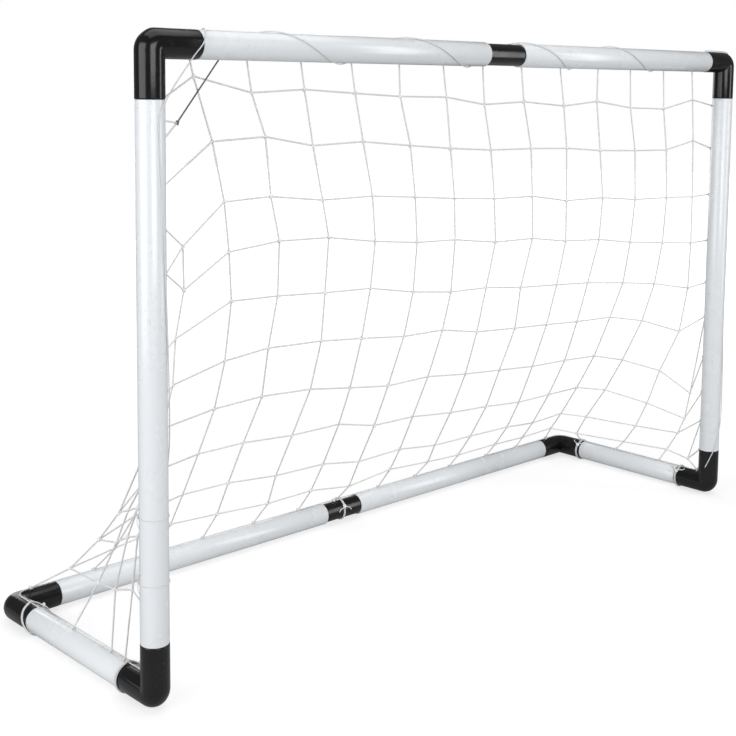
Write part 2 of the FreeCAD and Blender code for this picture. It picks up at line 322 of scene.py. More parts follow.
tube_along_x = tube_material("white_tube_across", (DRAWN_OUT, 1.0, 1.0))
tube_along_y = tube_material("white_tube_deep", (1.0, DRAWN_OUT, 1.0))
tube_along_z = tube_material("white_tube_upright", (1.0, 1.0, DRAWN_OUT))

# %% Black fitting
FITTING_BLACK = (0.005, 0.005, 0.006, 1)
SCRATCHED_BLACK = (0.035, 0.035, 0.036, 1)


def fitting_material():
    """Injection-moulded black plastic: even gloss, faint flow marks, a few pale scratches."""
    material, tree, surface = new_material("black_fitting")
    place = add(tree, "ShaderNodeTexCoord").outputs["Object"]
    marks = place_group(tree, handling_marks, Vector=place, Scratch_Size=110.0, Film_Size=26.0)
    feed(tree, surface, Base_Color=mixed(tree, marks["Scratches"], FITTING_BLACK, SCRATCHED_BLACK),
         Roughness=ranged(tree, marks["Film"], To_Min=0.16, To_Max=0.26), Specular_IOR_Level=0.42)
    bumped(tree, surface, noise(tree, place, 60.0, Detail=3.0, Distortion=0.6), 0.15 * MM)
    return material


black_fitting = fitting_material()

# %% Twine and cords
ROUGHNESS_SPREAD = 0.12


def strand_material(name, crest, groove, soiling, roughness):
    material, tree, surface = new_material(name)
    look = place_group(tree, groove_shaded_twist_look, Crest=(*crest, 1), Groove=(*groove, 1), Soiling=soiling)
    rough = ranged(tree, look["Fuzz"], To_Min=roughness - ROUGHNESS_SPREAD,
                   To_Max=roughness + ROUGHNESS_SPREAD)
    feed(tree, surface, Base_Color=look["Color"], Roughness=rough, Sheen_Weight=0.1)
    bumped(tree, surface, look["Fuzz"], 0.12 * MM)
    return material


# The second colour of each strand is a painted shade for the grooves between its plies, and also
# the colour that its soiling darkens towards.
twine_white = strand_material("net_twine", (0.94, 0.94, 0.935), (0.74,) * 3, 0.15, 0.6)
cord_white = strand_material("white_cord", (0.90, 0.91, 0.92), (0.60,) * 3, 0.15, 0.55)
cord_dark = strand_material("dark_cord", (0.20, 0.21, 0.21), (0.05,) * 3, 0.1, 0.6)
print("materials", len(bpy.data.materials))

# %% [markdown]
# ## The twine builder
# Every strand here, from the net's twine to the ties, is three plies twisted together. Modelling
# three helixes would be heavy, so a strand is one tube whose section has three lobes, and the
# section turns as it goes. Geometry Nodes does that along any number of paths at once, and stores
# two values for the material: how deep in a groove a point is, and how far along the strand.

# %% Twine builder tree
TWINE_INPUTS = [("Geometry", "NodeSocketGeometry", None), ("Radius", "NodeSocketFloat", 0.001),
                ("Plies", "NodeSocketInt", 3), ("Ply Depth", "NodeSocketFloat", 0.24),
                ("Pitch", "NodeSocketFloat", 0.01), ("Step", "NodeSocketFloat", 0.001),
                ("Knot Shape", "NodeSocketObject", None), ("Knot Size", "NodeSocketFloat", 1.0),
                ("Seed", "NodeSocketInt", 3), ("Finish", "NodeSocketMaterial", None)]
SIDES_PER_PLY = 3.0
KNOT_SIZES = (0.88, 1.12)


def build_twine_tree():
    tree, given, result = new_group("twisted_twine", "GeometryNodeTree", TWINE_INPUTS,
                                    [("Geometry", "NodeSocketGeometry")])
    circle = add(tree, "GeometryNodeCurvePrimitiveCircle", Radius=given["Radius"],
                 Resolution=maths(tree, "MULTIPLY", given["Plies"], SIDES_PER_PLY))
    around = add(tree, "GeometryNodeSplineParameter").outputs["Factor"]
    lobes = maths(tree, "MULTIPLY", maths(tree, "MULTIPLY", around, math.tau), given["Plies"])
    groove = maths(tree, "MULTIPLY_ADD", maths(tree, "COSINE", lobes), -0.5, 0.5)
    depth = maths(tree, "MULTIPLY", groove, given["Ply Depth"])
    shrink = maths(tree, "SUBTRACT", 1.0, depth)
    at = add(tree, "GeometryNodeInputPosition").outputs[0]
    lobed = add(tree, "ShaderNodeVectorMath", {"operation": "SCALE"}, _0=at, Scale=shrink)
    marked = add(tree, "GeometryNodeStoreNamedAttribute", {"data_type": "FLOAT"},
                 Geometry=circle.outputs[0], Name="groove", Value=groove)
    section = add(tree, "GeometryNodeSetPosition", Geometry=marked.outputs[0],
                  Position=lobed.outputs[0])

    paths = add(tree, "GeometryNodeMeshToCurve", Mesh=given["Geometry"])
    smooth = add(tree, "GeometryNodeCurveSplineType", {"spline_type": "CATMULL_ROM"},
                 Curve=paths.outputs[0])
    even = add(tree, "GeometryNodeResampleCurve", {"mode": "LENGTH"}, Curve=smooth.outputs[0],
               Length=given["Step"])
    length = add(tree, "GeometryNodeSplineParameter").outputs["Length"]
    turns = maths(tree, "DIVIDE", length, given["Pitch"])
    tilted = add(tree, "GeometryNodeSetCurveTilt", Curve=even.outputs[0],
                 Tilt=maths(tree, "MULTIPLY", turns, math.tau))
    measured = add(tree, "GeometryNodeStoreNamedAttribute", {"data_type": "FLOAT"},
                   Geometry=tilted.outputs[0], Name="along", Value=length)
    strands = add(tree, "GeometryNodeCurveToMesh", Curve=measured.outputs[0],
                  Profile_Curve=section.outputs[0], Fill_Caps=True)

    is_knot = add(tree, "GeometryNodeInputNamedAttribute", {"data_type": "FLOAT"}, Name="knot")
    chosen = maths(tree, "GREATER_THAN", is_knot.outputs["Attribute"], 0.5)
    shape = add(tree, "GeometryNodeObjectInfo", Object=given["Knot Shape"])
    turned = add(tree, "FunctionNodeRandomValue", {"data_type": "FLOAT_VECTOR"},
                 Max=(math.tau,) * 3, Seed=given["Seed"])
    size = add(tree, "FunctionNodeRandomValue", {"data_type": "FLOAT"}, _2=KNOT_SIZES[0],
               _3=KNOT_SIZES[1], Seed=given["Seed"])
    scale = maths(tree, "MULTIPLY", size.outputs[1], given["Knot Size"])
    knots = add(tree, "GeometryNodeInstanceOnPoints", Points=given["Geometry"], Selection=chosen,
                Instance=shape.outputs["Geometry"], Rotation=turned.outputs[0], Scale=scale)
    real = add(tree, "GeometryNodeRealizeInstances", Geometry=knots.outputs[0])
    joined = add(tree, "GeometryNodeJoinGeometry")
    tree.links.new(strands.outputs[0], joined.inputs[0])
    tree.links.new(real.outputs[0], joined.inputs[0])
    softened = add(tree, "GeometryNodeSetShadeSmooth", Geometry=joined.outputs[0])
    whole = add(tree, "GeometryNodeRealizeInstances", Geometry=softened.outputs[0])
    finished = add(tree, "GeometryNodeSetMaterial", Geometry=whole.outputs[0],
                   Material=given["Finish"])
    feed(tree, result, Geometry=finished.outputs[0])
    return tree


twine_tree = build_twine_tree()


# %% A tied knot
def mesh_of(name, shape):
    mesh = bpy.data.meshes.new(name)
    shape.to_mesh(mesh)
    shape.free()
    return mesh


def knot_pattern(name, size, cord_r, steps, sides):
    """A trefoil, which is an overhand knot with its ends joined, as a closed tube."""
    shape = bmesh.new()
    centre_line = []
    for step in range(steps):
        t = math.tau * step / steps
        centre_line.append(Vector((math.sin(t) + 2 * math.sin(2 * t),
                                   math.cos(t) - 2 * math.cos(2 * t),
                                   -1.3 * math.sin(3 * t))) * (size / 6))
    rings = []
    for step, centre in enumerate(centre_line):
        ahead = (centre_line[(step + 1) % steps] - centre_line[step - 1]).normalized()
        aside = ahead.cross(UP).normalized()
        above = aside.cross(ahead)
        ring = []
        for side in range(sides):
            turn = math.tau * side / sides
            ring.append(shape.verts.new(
                centre + (aside * math.cos(turn) + above * math.sin(turn)) * cord_r))
        rings.append(ring)
    for step in range(steps):
        ring, after = rings[step], rings[(step + 1) % steps]
        for side in range(sides):
            other = (side + 1) % sides
            shape.faces.new((ring[side], ring[other], after[other], after[side]))
    bmesh.ops.recalc_face_normals(shape, faces=shape.faces)
    return new_object(name, mesh_of(name, shape))


# The net has so many knots that each has few faces. Both shapes only lend their meshes to the
# twine builder, and are removed before the end.
TWINE_R = 1.25 * MM
TIE_R = 1.0 * MM
net_knot = knot_pattern("net_knot", 4.6 * MM, TWINE_R, steps=15, sides=4)
tie_knot = knot_pattern("tie_knot", 5.0 * MM, TIE_R, steps=36, sides=8)


# %% Twine along paths
def twine(name, paths, radius, finish, pitch=9 * MM, step=1.1 * MM, knots=(), knot=None,
          knot_size=1.0, seed=3):
    """A plain mesh of twisted strands along the paths, with a knot shape at each knot point."""
    verts, edges, is_knot = [], [], []
    for path in paths:
        first = len(verts)
        verts += [tuple(point) for point in path]
        edges += [(i, i + 1) for i in range(first, len(verts) - 1)]
        is_knot += [0.0] * len(path)
    for point in knots:
        verts.append(tuple(point))
        is_knot.append(1.0)
    mesh = bpy.data.meshes.new(name)
    mesh.from_pydata(verts, edges, [])
    mesh.attributes.new("knot", "FLOAT", "POINT").data.foreach_set("value", is_knot)
    piece = new_object(name, mesh)
    modifier = piece.modifiers.new("twine", "NODES")
    modifier.node_group = twine_tree
    values = {"Radius": radius, "Pitch": pitch, "Step": step, "Knot Shape": knot,
              "Knot Size": knot_size, "Seed": seed, "Finish": finish}
    for item in twine_tree.interface.items_tree:
        if item.in_out == "INPUT" and item.name in values:
            modifier[item.identifier] = values[item.name]
    return settle(piece)


def settle(piece):
    """Swaps an object's modifiers for the plain mesh that they make."""
    depsgraph = bpy.context.evaluated_depsgraph_get()
    made = bpy.data.meshes.new_from_object(piece.evaluated_get(depsgraph))
    piece.modifiers.clear()
    piece.data = made
    made.name = piece.name
    print(piece.name, len(made.polygons), "faces")
    return piece


def finish_piece(piece, slot, *nodes):
    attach(piece, "root")
    if nodes:
        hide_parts(*nodes)
    return piece


# %% [markdown]
# ## The dark cord
# One short dark cord is pulled tight from under the crossbar to a knot on the net. It is the only
# cord that leaves the frame and hangs on its own, and its length is printed. Its route is a NURBS
# curve, and the twisted strand follows points read from that curve.

# %% Dark cord
DARK_ROUTE = [(-0.4790, -0.15697, 0.75547), (-0.48705, -0.15605, 0.74469),
              (-0.53319, -0.15076, 0.68288)]
DARK_CORD_R = 1.1 * MM


def spline_points(name, route):
    """Points along the NURBS curve of a route, close enough together to follow."""
    curve = bpy.data.curves.new(name, "CURVE")
    curve.dimensions = "3D"
    spline = curve.splines.new("NURBS")
    spline.points.add(len(route) - 1)
    for point, place in zip(spline.points, route):
        point.co = (*place, 1.0)
    spline.order_u = 3
    spline.use_endpoint_u = True
    spline.resolution_u = 8
    holder = bpy.data.objects.new(name, curve)
    line = bpy.data.meshes.new_from_object(holder)
    points = [Vector(vertex.co) for vertex in line.vertices]
    bpy.data.objects.remove(holder)
    bpy.data.curves.remove(curve)
    bpy.data.meshes.remove(line)
    return points


def path_length(points):
    return sum((after - before).length for before, after in zip(points, points[1:]))


dark_path = spline_points("dark_route", DARK_ROUTE)
dark_cord = twine("dark_cord_twisted", [dark_path], DARK_CORD_R, cord_dark, pitch=8 * MM,
                  step=0.8 * MM)
finish_piece(dark_cord, "dark_cord", "dark_cord")
dark_knot_place = middle_of("dark_cord_knot")
dark_knot = twine("dark_knot", [], DARK_CORD_R, cord_dark, knots=[dark_knot_place], knot=tie_knot,
                  knot_size=0.85)
finish_piece(dark_knot, "dark_cord", "dark_cord_knot")
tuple(DARK_ROUTE[0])
print("dark cord", round(path_length(dark_path), 4), "m")

# %% [markdown]
# ## Tubes
# A tube is a cut length of extruded pipe: a thin wall, a smooth skin and a small bevel where the
# saw's burr was taken off. Each is turned from a closed outline, so the wall has an inside too.

# %% Turned pieces
SHARP_FROM = math.radians(32)
RIDGE_FLANK = math.radians(1.3)


def turned_piece(name, start, direction, outline, finish, sides=72, ridge=0.0):
    """Spins a closed outline of (along, radius) points round an axis. A ridge is a mould's line."""
    across = direction.orthogonal().normalized() if abs(direction.z) > 0.5 else UP
    other = direction.cross(across)
    angles = spread_angles(sides, ridge)
    shape = bmesh.new()
    rings = []
    for along, radius, skin in outline:
        ring = []
        for angle, lift in angles:
            out = across * math.cos(angle) + other * math.sin(angle)
            r = radius + (lift if skin else 0.0)
            ring.append(shape.verts.new(start + direction * along + out * r))
        rings.append(ring)
    bridge_rings(shape, rings)
    return shaded_piece(name, shape, finish)


def spread_angles(sides, ridge):
    """Angles round a section, with the extra ones that a pair of raised mould lines needs."""
    angles = [(math.tau * side / sides, 0.0) for side in range(sides)]
    if ridge:
        for line in (0.0, math.pi):
            angles = [(a, lift) for a, lift in angles if abs(a - line) > 1e-6]
            angles += [(line - RIDGE_FLANK, 0.0), (line, ridge), (line + RIDGE_FLANK, 0.0)]
        angles = [(a % math.tau, lift) for a, lift in angles]
    return sorted(angles)


def bridge_rings(shape, rings):
    count = len(rings[0])
    for ring, after in zip(rings, rings[1:] + rings[:1]):
        for i in range(count):
            j = (i + 1) % count
            shape.faces.new((ring[i], ring[j], after[j], after[i]))


def shaded_piece(name, shape, finish):
    """Closes doubled points, turns the faces outwards, and shades all but the sharp edges."""
    bmesh.ops.remove_doubles(shape, verts=shape.verts, dist=1e-6)
    bmesh.ops.dissolve_degenerate(shape, edges=shape.edges, dist=1e-7)
    bmesh.ops.recalc_face_normals(shape, faces=shape.faces)
    mesh = mesh_of(name, shape)
    mesh.shade_smooth()
    mesh.set_sharp_from_angle(angle=SHARP_FROM)
    mesh.materials.append(finish)
    print(name, len(mesh.polygons), "faces")
    return new_object(name, mesh)


# %% The eight tubes
RIM = 0.4 * MM
RIM_KNEE = 0.12 * MM
TUBE_WALL = 1.7 * MM


def tube(name, node, axis, finish):
    low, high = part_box(node)
    centre = (low + high) / 2
    length = (high - low).dot(axis)
    start = centre - axis * (length / 2)
    bore = tube_r - TUBE_WALL
    outline = [(0, bore + RIM, False), (0, tube_r - RIM, False),
               (RIM_KNEE, tube_r - RIM_KNEE, True), (RIM, tube_r, True),
               (length - RIM, tube_r, True), (length - RIM_KNEE, tube_r - RIM_KNEE, True),
               (length, tube_r - RIM, False), (length, bore + RIM, False),
               (length - RIM, bore, False), (RIM, bore, False)]
    piece = turned_piece(name, start, axis, outline, finish)
    return finish_piece(piece, "white_tube", node)


for side in ("left", "right"):
    tube("crossbar_pipe_" + side, "crossbar_tube_" + side, RIGHT, tube_along_x)
    tube("post_pipe_" + side, "post_" + side, UP, tube_along_z)
    tube("side_pipe_" + side, "side_tube_" + side, BACK, tube_along_y)
    tube("rear_pipe_" + side, "rear_tube_" + side, RIGHT, tube_along_x)

# %% [markdown]
# ## Elbows
# An elbow is moulded in two halves, so a fine raised line runs round it in the plane of its bend.
# Its bend is tighter than its own radius: on the outside the skin rounds the corner, and on the
# inside the two legs meet in a crease. One outline of a leg's wall, from the bend out over the
# shoulder and spigot and back through the bore, serves both legs. Each point of the section follows
# that outline, and either turns round the bend's pivot or stops at the crease.

# %% Elbow outline
ELBOW_BEND = 8 * MM
SHOULDER = 1.6 * MM
SPIGOT_WALL = 2.6 * MM
MOULD_LINE = 0.1 * MM
LEAD = 1.2 * MM
BREAK = 0.3 * MM
SHOULDER_STEPS = 6


def leg_outline():
    """(along, radius, is skin) from the bend's end, out along the leg and back inside it."""
    points = []
    for step in range(SHOULDER_STEPS + 1):
        turn = math.radians(90 * step / SHOULDER_STEPS)
        points.append((elbow_leg - SHOULDER * (1 - math.sin(turn)),
                       elbow_r - SHOULDER * (1 - math.cos(turn)), step < 3))
    bore = coupler_r - SPIGOT_WALL
    points += [(elbow_leg, coupler_r + BREAK, False), (elbow_leg + BREAK, coupler_r, False),
               (spigot_tip - LEAD, coupler_r, False), (spigot_tip, coupler_r - LEAD, False),
               (spigot_tip, bore + BREAK, False), (spigot_tip - BREAK, bore, False)]
    return points


# %% Elbows
def elbow(name, node, corner, first_leg, second_leg, sides=64, bend_steps=14):
    third = first_leg.cross(second_leg)
    pivot = corner + (first_leg + second_leg) * ELBOW_BEND

    def on_leg(leg, other, along, radius, angle):
        outwards = radius * math.cos(angle)
        reach = max(along, -outwards, ELBOW_BEND)
        return corner + leg * reach - other * outwards + third * (radius * math.sin(angle))

    def on_bend(share, radius, angle):
        outwards = radius * math.cos(angle)
        aside = third * (radius * math.sin(angle))
        swing = ELBOW_BEND + outwards
        if swing <= 0:
            return corner - (first_leg + second_leg) * outwards + aside
        turn = math.radians(90 * share)
        return pivot - (second_leg * math.cos(turn) + first_leg * math.sin(turn)) * swing + aside

    angles = spread_angles(sides, MOULD_LINE)
    shape = bmesh.new()
    rings = []

    def ring_of(place, radius, skin):
        rings.append([shape.verts.new(place(radius + (lift if skin else 0.0), angle))
                      for angle, lift in angles])

    outline = leg_outline()
    bore = coupler_r - SPIGOT_WALL
    for leg, other, ordered in ((first_leg, second_leg, outline[::-1]),
                                (second_leg, first_leg, outline)):
        for along, radius, skin in ordered:
            ring_of(lambda r, a, s=along: on_leg(leg, other, s, r, a), radius, skin)
        shares = range(bend_steps + 1)
        if leg == first_leg:
            for step in shares:
                ring_of(lambda r, a, s=step: on_bend(s / bend_steps, r, a), elbow_r, True)
        else:
            for step in reversed(shares):
                ring_of(lambda r, a, s=step: on_bend(s / bend_steps, r, a), bore, False)
    bridge_rings(shape, rings)
    return finish_piece(shaded_piece(name, shape, black_fitting), "black_fitting", node)


for side, name in ((-1, "left"), (1, "right")):
    post_x = side * half_width
    inwards = RIGHT * -side
    for end, y, z, legs in (("top", front_y, top_z, (inwards, -UP)),
                            ("front", front_y, base_z, (BACK, UP)),
                            ("rear", rear_y, base_z, (inwards, -BACK))):
        elbow(f"{end}_corner_{name}", f"{end}_elbow_{name}", Vector((post_x, y, z)), *legs)

# %% [markdown]
# ## Couplers
# The crossbar and the rear bar are each two tubes long, joined by a straight black sleeve. Only
# its middle shows, a little thinner than the tubes, with the mould's line along it.

# %% Couplers
COUPLER_WALL = 2.4 * MM


def coupler(name, node):
    low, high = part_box(node)
    centre = (low + high) / 2
    length = high.x - low.x
    bore = coupler_r - COUPLER_WALL
    outline = [(0, bore + BREAK, False), (0, coupler_r - LEAD, False), (LEAD, coupler_r, False),
               (length / 2 - coupler_gap, coupler_r, True),
               (length / 2 + coupler_gap, coupler_r, True),
               (length - LEAD, coupler_r, False), (length, coupler_r - LEAD, False),
               (length, bore + BREAK, False), (length - BREAK, bore, False), (BREAK, bore, False)]
    piece = turned_piece(name, centre - RIGHT * (length / 2), RIGHT, outline, black_fitting,
                         ridge=MOULD_LINE)
    return finish_piece(piece, "black_fitting", node)


coupler("crossbar_sleeve", "crossbar_coupler")
coupler("rear_sleeve", "rear_coupler")

# %% [markdown]
# ## Edge cord
# A thin cord edges the net. It lies behind the crossbar and the posts and on top of the base
# tubes, and its two ends meet in a knot on the rear coupler. Its corners are round, so the path is
# straight runs with an arc of points at each corner.

# %% Edge cord
OUTER_BEND = 20 * MM
INNER_BEND = 12 * MM


def rounded_path(corners, radii, arc_steps=10):
    """Straight runs between corners, with each inner corner replaced by an arc of points."""
    path = [corners[0]]
    for before, corner, after, radius in zip(corners, corners[1:], corners[2:], radii):
        back_way = (before - corner).normalized()
        on_way = (after - corner).normalized()
        pivot = corner + (back_way + on_way) * radius
        for step in range(arc_steps + 1):
            turn = math.radians(90 * step / arc_steps)
            path.append(pivot - (on_way * math.cos(turn) + back_way * math.sin(turn)) * radius)
    return even_path(path + [corners[-1]], 6 * MM)


def even_path(path, gap):
    """The same line with points added on its long runs, so that a smooth curve can't swing out."""
    points = [path[0]]
    for before, after in zip(path, path[1:]):
        steps = max(1, round((after - before).length / gap))
        points += [before.lerp(after, step / steps) for step in range(1, steps + 1)]
    return points


def edge_corners():
    edge_y = front_y + edge_at
    edge_z = base_z + edge_at
    knot_x = middle_of("edge_cord_knot").x
    corners, radii = [Vector((knot_x, rear_y, edge_z))], []
    for side in (-1, 1):
        three = [Vector((side * half_width, rear_y, edge_z)),
                 Vector((side * half_width, edge_y, edge_z)),
                 Vector((side * half_width, edge_y, top_z))]
        bends = [OUTER_BEND, INNER_BEND, OUTER_BEND]
        corners += three if side < 0 else three[::-1]
        radii += bends if side < 0 else bends[::-1]
    return corners + [Vector((knot_x, rear_y, edge_z))], radii


edge_path = rounded_path(*edge_corners())
edge_piece = twine("edge_rope", [edge_path], edge_cord_r, cord_white)
finish_piece(edge_piece, "white_cord", "edge_cord")
edge_knot = twine("edge_rope_knot", [], edge_cord_r, cord_white,
                  knots=[middle_of("edge_cord_knot")], knot=tie_knot, knot_size=1.0)
finish_piece(edge_knot, "white_cord", "edge_cord_knot")
print("edge cord", round(path_length(edge_path), 3), "m")

# %% [markdown]
# ## The net
# The net is knotted by hand from twine, with meshes a little under a hand's breadth. Thirteen
# uprights hang from the crossbar. They lean to the right on their way down, because the net was
# laced on askew, and further uprights start at the posts where the goal gets deeper. The bag hangs
# close behind the crossbar and then runs out to the rear tube. A plan gives every knot its place on
# that bag. The strands are then cut a little uneven and the whole net is hung: every knot and three
# points of every strand are particles, a strand can go slack and is pulled back when it stretches,
# the ends are tied to the edge cord, and a gravity that fades away lets the net settle. The result
# is the same on every run.

# %% Shape of the bag
UPRIGHTS = 13
ROWS = 10
FIRST_FOOT, LAST_FOOT = -4, 15
first_upright = [1, 1, 0, 0, 0, 0, -1, -3, -4, -4]
last_upright = [13, 13, 13, 13, 13, 13, 14, 14, 14, 15]
# From here to right_pins, a place is (distance behind the posts, height over the base axis) in
# millimetres. The bags go row by row from the top. The sides' places are by upright and row.
left_bag = [(5, 700), (3, 638), (12, 566), (15, 507), (45, 437), (82, 367), (140, 298),
            (200, 227), (264, 153), (308, 88)]
right_bag = [(5, 675), (12, 604), (28, 521), (48, 446), (67, 369), (92, 294), (158, 226),
             (214, 156), (264, 91), (304, 50)]
last_bag = [(-2, 686), (4, 614), (8, 518), (12, 435), (24, 350), (36, 262), (94, 197),
            (120, 132), (154, 84), (182, 44)]
left_fold = {3: (8, 516), 4: (12, 462), 5: (16, 405), 6: (38, 347), 7: (54, 290), 8: (112, 226),
             9: (190, 158), 10: (268, 92)}
left_side = {(-1, 7): (34, 268), (-1, 8): (80, 202), (-1, 9): (132, 150), (-1, 10): (216, 88),
             (-2, 8): (56, 206), (-2, 9): (84, 162), (-2, 10): (128, 96), (-3, 8): (38, 218),
             (-3, 9): (60, 172), (-3, 10): (80, 101), (-4, 9): (38, 184), (-4, 10): (44, 108)}
side_feet = {-2: 185, -3: 98, -4: 60}
right_side = {(14, 7): (46, 152), (14, 8): (48, 104), (14, 9): (66, 72), (14, 10): (92, 42),
              (15, 10): (44, 40)}
left_pins = [674, 568, 446, 520, 376, 314, 256, 208, 170, 96]
knot_links = [668, 612]
right_pins = [676, 600, 518, 440, 366, 298, 226, 164, 108, 58]
uneven = np.random.default_rng(11)

# %% Places on the bag
TOP_FROM, TOP_SPAN, TOP_BOW = -0.914, 1.772, 0.03
FIRST_FOOT_AT = 560 * MM
SIDE_MESH, BACK_MESH = 98 * MM, 90.5 * MM
SIDE_NET_IN = 6 * MM
FOLD_IN, FOLD_WIDENS = 62, 7
CORNER_KNOT = (8, 715)
# left_bag holds up to upright 2 and right_bag from upright 11, with a mix of the two between.
LEFT_BAG_AT, RIGHT_BAG_AT = 2, 11
FIRST_ROW_SHORT = 0.4
# Sideways swings in millimetres, at the left and at the right, and the row where each has ended.
BOW_LEFT, BOW_RIGHT, BOW_ROWS = 20, 10, 8
LEAN_LEFT, LEAN_RIGHT, LEAN_ROWS = 10, 22, 5


def top_x(upright):
    """Where an upright starts on the crossbar: nearly even steps, with a slight bow."""
    share = (upright - 1) / (UPRIGHTS - 1)
    bow = TOP_BOW * math.sin(math.pi * share)
    return half_width * (TOP_FROM + TOP_SPAN * share - bow)


def behind(x, place):
    """A place in the goal from x in metres and one of the places above."""
    return Vector((x, front_y + place[0] * MM, base_z + place[1] * MM))


def base_pin(upright):
    """Where an upright's foot is tied, measured along the base from the left post."""
    along = FIRST_FOOT_AT + (upright - 1) * (SIDE_MESH if upright < 1 else BACK_MESH)
    along = side_feet.get(upright, along / MM) * MM + uneven.uniform(-PIN_WANDER, PIN_WANDER) * MM
    depth = rear_y - front_y
    z = base_z + edge_at
    if along < depth:
        return Vector((-half_width, front_y + along, z))
    along -= depth
    if along < 2 * half_width:
        return Vector((along - half_width, rear_y, z))
    along -= 2 * half_width
    return Vector((half_width, rear_y - along, z))


def knot_place(upright, row, foot):
    """The planned place of a knot on the bag."""
    share = (row - FIRST_ROW_SHORT) / (ROWS + 1 - FIRST_ROW_SHORT)
    if upright < 0:
        return behind(-half_width + SIDE_NET_IN, left_side[upright, row])
    if upright == 0:
        inwards = FOLD_IN + FOLD_WIDENS * max(row - 6, 0)
        return behind(-half_width + inwards * MM, left_fold[row])
    if upright > UPRIGHTS:
        return behind(half_width - SIDE_NET_IN, right_side[upright, row])
    x = top_x(upright) + (foot.x - top_x(upright)) * share
    mix = min(max((upright - LEFT_BAG_AT) / (RIGHT_BAG_AT - LEFT_BAG_AT), 0), 1)
    bow = BOW_LEFT + (BOW_RIGHT - BOW_LEFT) * mix
    lean = LEAN_LEFT + (LEAN_RIGHT - LEAN_LEFT) * mix
    x += bow * MM * math.sin(math.pi * min(row / BOW_ROWS, 1))
    x += lean * MM * max(1 - row / LEAN_ROWS, 0)
    if upright == UPRIGHTS:
        return behind(x, last_bag[row - 1])
    if upright == 1 and row == 1:
        return behind(x, CORNER_KNOT)
    left, right = left_bag[row - 1], right_bag[row - 1]
    return behind(x, [a + (b - a) * mix for a, b in zip(left, right)])


# %% Net graph
PIN_WANDER = 5
KNOT_WANDER = 5
TOP_SHIFT = 16 * MM
CUT_SPREAD = (0.965, 1.0)


def plan_net():
    """The place of every knot and tied end, which are fixed, and the strands' cut lengths."""
    points, pinned, index, strands = [], [], {}, []

    def point(key, place, fixed):
        index[key] = len(points)
        points.append(place)
        pinned.append(fixed)

    def uneven_step(size):
        return Vector(uneven.uniform(-size, size, 3)) * MM

    for side, label, heights in ((-1, "left", left_pins), (1, "right", right_pins)):
        for row in range(1, ROWS + 1):
            place = behind(side * half_width, (edge_at / MM, heights[row - 1]))
            wander = UP * uneven.uniform(-PIN_WANDER, PIN_WANDER) * MM
            point((label, row), place + wander, True)
    feet = {k: base_pin(k) for k in range(FIRST_FOOT, LAST_FOOT + 1)}
    for k, foot in feet.items():
        point((k, "foot"), foot, True)
        if 1 <= k <= UPRIGHTS:
            wander = RIGHT * uneven.uniform(-PIN_WANDER, PIN_WANDER) * MM
            place = Vector((top_x(k) + TOP_SHIFT, front_y + edge_at, top_z))
            point((k, "top"), place + wander, True)
    for row in range(1, ROWS + 1):
        for k in range(first_upright[row - 1], last_upright[row - 1] + 1):
            point((k, row), knot_place(k, row, feet[k]) + uneven_step(KNOT_WANDER), False)

    def strand(a, b, kind):
        reach = (points[index[a]] - points[index[b]]).length
        strands.append((index[a], index[b], reach * uneven.uniform(*CUT_SPREAD), kind))

    point("dark", dark_knot_place, True)
    for height in knot_links:
        place = behind(-half_width, (edge_at / MM, height))
        point(("link", height), place, True)
        strand("dark", ("link", height), "row")
    for row in range(1, ROWS + 1):
        first, last = first_upright[row - 1], last_upright[row - 1]
        for k in range(first, last):
            strand((k, row), (k + 1, row), "row")
        strand(("left", row), (first, row), "row")
        strand((last, row), ("right", row), "row")
    for row in range(1, ROWS + 2):
        for k in feet:
            below = (k, row) if row <= ROWS else (k, "foot")
            above = (k, row - 1) if row > 1 else (k, "top")
            if below not in index:
                continue
            if above not in index:
                above = ("left" if k < UPRIGHTS / 2 else "right", row - 1)
            if above in index:
                strand(above, below, "upright")
    return np.array([tuple(p) for p in points]), np.array(pinned), strands


net_points, net_pinned, net_strands = plan_net()
print("net", int((~net_pinned).sum()), "knots", int(net_pinned.sum()), "tied ends",
      len(net_strands), "strands", round(sum(s[2] for s in net_strands), 1), "m of twine")


# %% Hang the net
STRAND_PARTS = 4
STRAND_STIFFNESS = 0.5
STRAND_WEIGHT = 0.12
DRIFT_KEPT = 0.8
FIRST_FALL = 0.12 * MM
PULL = 1.6
TUBE_CLEARANCE = 1.2 * MM


